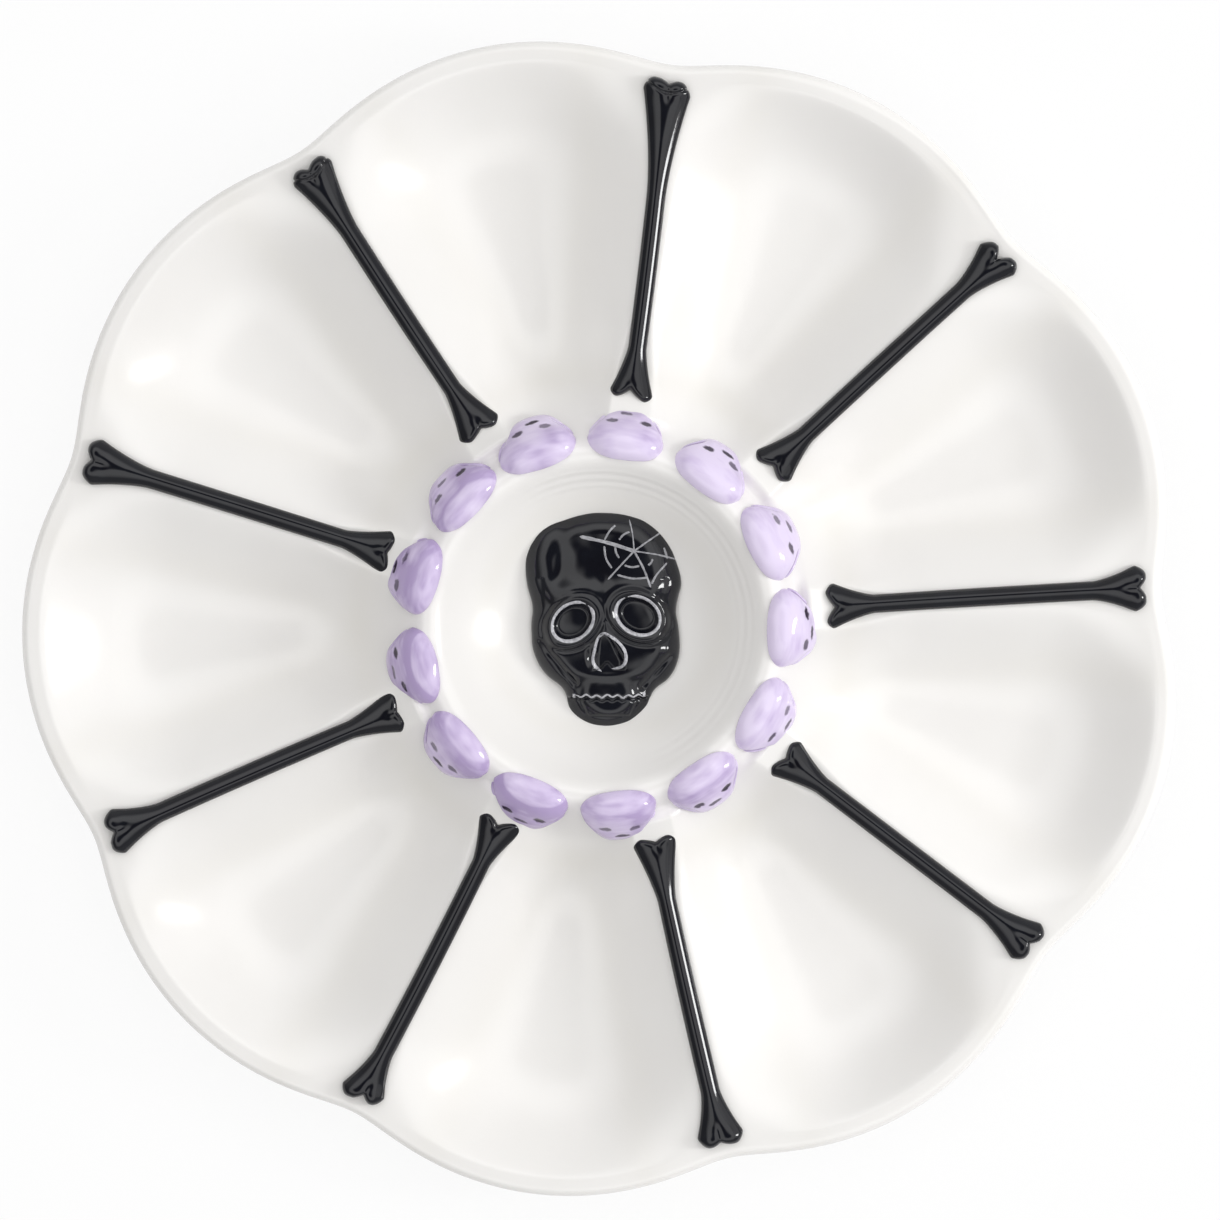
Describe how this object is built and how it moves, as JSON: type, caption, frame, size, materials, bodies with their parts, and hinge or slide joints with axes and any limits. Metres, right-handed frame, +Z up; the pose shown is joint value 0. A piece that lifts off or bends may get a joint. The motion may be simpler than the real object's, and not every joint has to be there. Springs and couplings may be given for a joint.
{
  "type": "tapas plate",
  "caption": "Round scalloped ceramic tapas plate with wells divided by black bones around a raised dip bowl ringed by lilac skulls, with a black skull on the bowl's floor.",
  "frame": {"origin": "on the plate's axis, on the table under the foot ring", "axes": "+Z up along the plate's axis, +Y towards the crown of the large skull, +X to its viewer's right"},
  "size_m": [0.3163, 0.3174, 0.0348],
  "materials": {
    "white_glaze": "glossy white glaze",
    "black_glaze": "glossy black glaze",
    "lilac_glaze": "brushed lilac underglaze under a clear gloss",
    "bare_clay": "unglazed fired clay"
  },
  "bodies": {
    "root": {"plate_body": "white_glaze", "dip_bowl": "white_glaze", "foot_ring": "bare_clay", "divider_bone_1": "black_glaze", "divider_bone_2": "black_glaze", "divider_bone_3": "black_glaze", "divider_bone_4": "black_glaze", "divider_bone_5": "black_glaze", "divider_bone_6": "black_glaze", "divider_bone_7": "black_glaze", "divider_bone_8": "black_glaze", "divider_bone_9": "black_glaze", "rim_skull_01": "lilac_glaze", "rim_skull_02": "lilac_glaze", "rim_skull_03": "lilac_glaze", "rim_skull_04": "lilac_glaze", "rim_skull_05": "lilac_glaze", "rim_skull_06": "lilac_glaze", "rim_skull_07": "lilac_glaze", "rim_skull_08": "lilac_glaze", "rim_skull_09": "lilac_glaze", "rim_skull_10": "lilac_glaze", "rim_skull_11": "lilac_glaze", "rim_skull_12": "lilac_glaze", "rim_skull_13": "lilac_glaze", "centre_skull": "black_glaze"}
  },
  "joints": []
}
